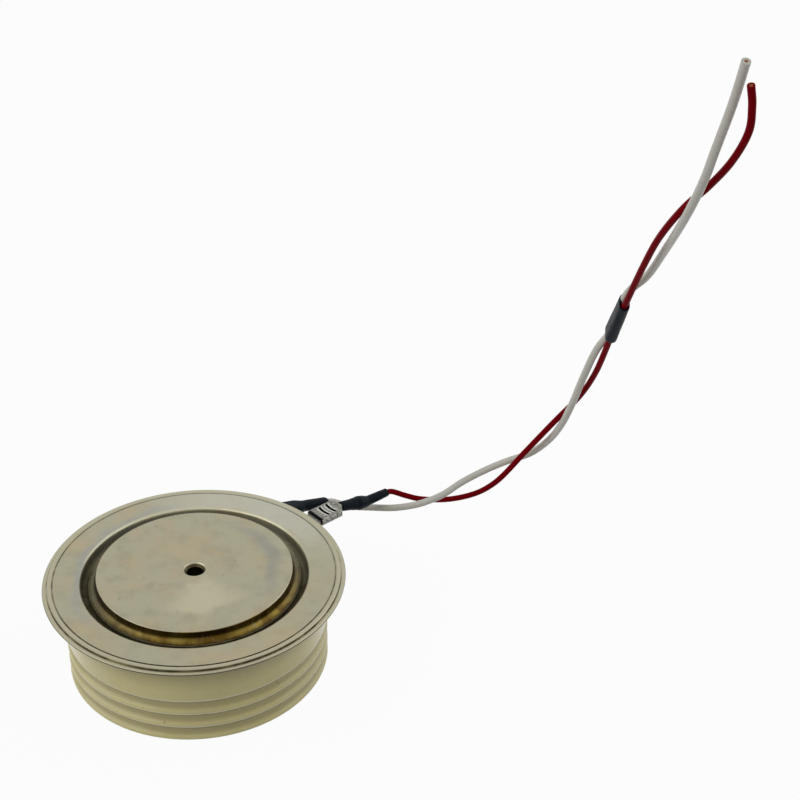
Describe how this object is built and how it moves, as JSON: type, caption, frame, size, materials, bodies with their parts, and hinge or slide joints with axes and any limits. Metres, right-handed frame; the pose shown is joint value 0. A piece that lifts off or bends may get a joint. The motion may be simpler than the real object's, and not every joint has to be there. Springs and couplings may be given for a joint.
{
  "type": "disc thyristor",
  "caption": "Press-pack thyristor capsule: a ribbed ceramic ring between metal pole faces with a welded rim, and a gate lead and a cathode lead on push-on tabs.",
  "frame": {"origin": "centre of the anode pole face, on the surface that the capsule lies on", "axes": "+Z along the capsule's axis from the anode pole to the cathode pole; the leads leave towards +X and +Y"},
  "size_m": [0.1495, 0.0938, 0.1729],
  "materials": {
    "ceramic": "gloss",
    "plated_sheet": "satin",
    "plated_copper": "satin",
    "molybdenum": "satin",
    "silicon": "gloss",
    "seal_rubber": "matte",
    "white_plastic": "matte",
    "gate_metal": "satin",
    "spring_steel": "satin",
    "tinned_brass": "satin",
    "black_sleeve": "satin",
    "red_insulation": "gloss",
    "white_insulation": "gloss"
  },
  "bodies": {
    "root": {"ceramic_ring": "ceramic", "weld_ring": "plated_sheet", "cathode_lid": "plated_sheet", "cathode_pole": "plated_copper", "anode_diaphragm": "plated_sheet", "anode_pole": "plated_copper", "anode_disc": "molybdenum", "silicon_wafer": "silicon", "edge_seal": "seal_rubber", "cathode_disc": "molybdenum", "centering_ring": "white_plastic", "gate_pin": "gate_metal", "gate_spring": "spring_steel", "gate_cup": "white_plastic", "gate_wire": "gate_metal", "gate_wire_tube": "white_plastic", "gate_tube": "plated_sheet", "gate_tab": "tinned_brass", "cathode_tab": "tinned_brass", "cathode_receptacle": "tinned_brass", "gate_receptacle": "tinned_brass", "cathode_sleeve": "black_sleeve", "gate_sleeve": "black_sleeve", "tie_sleeve": "black_sleeve", "red_lead": "red_insulation", "white_lead": "white_insulation"}
  },
  "joints": []
}
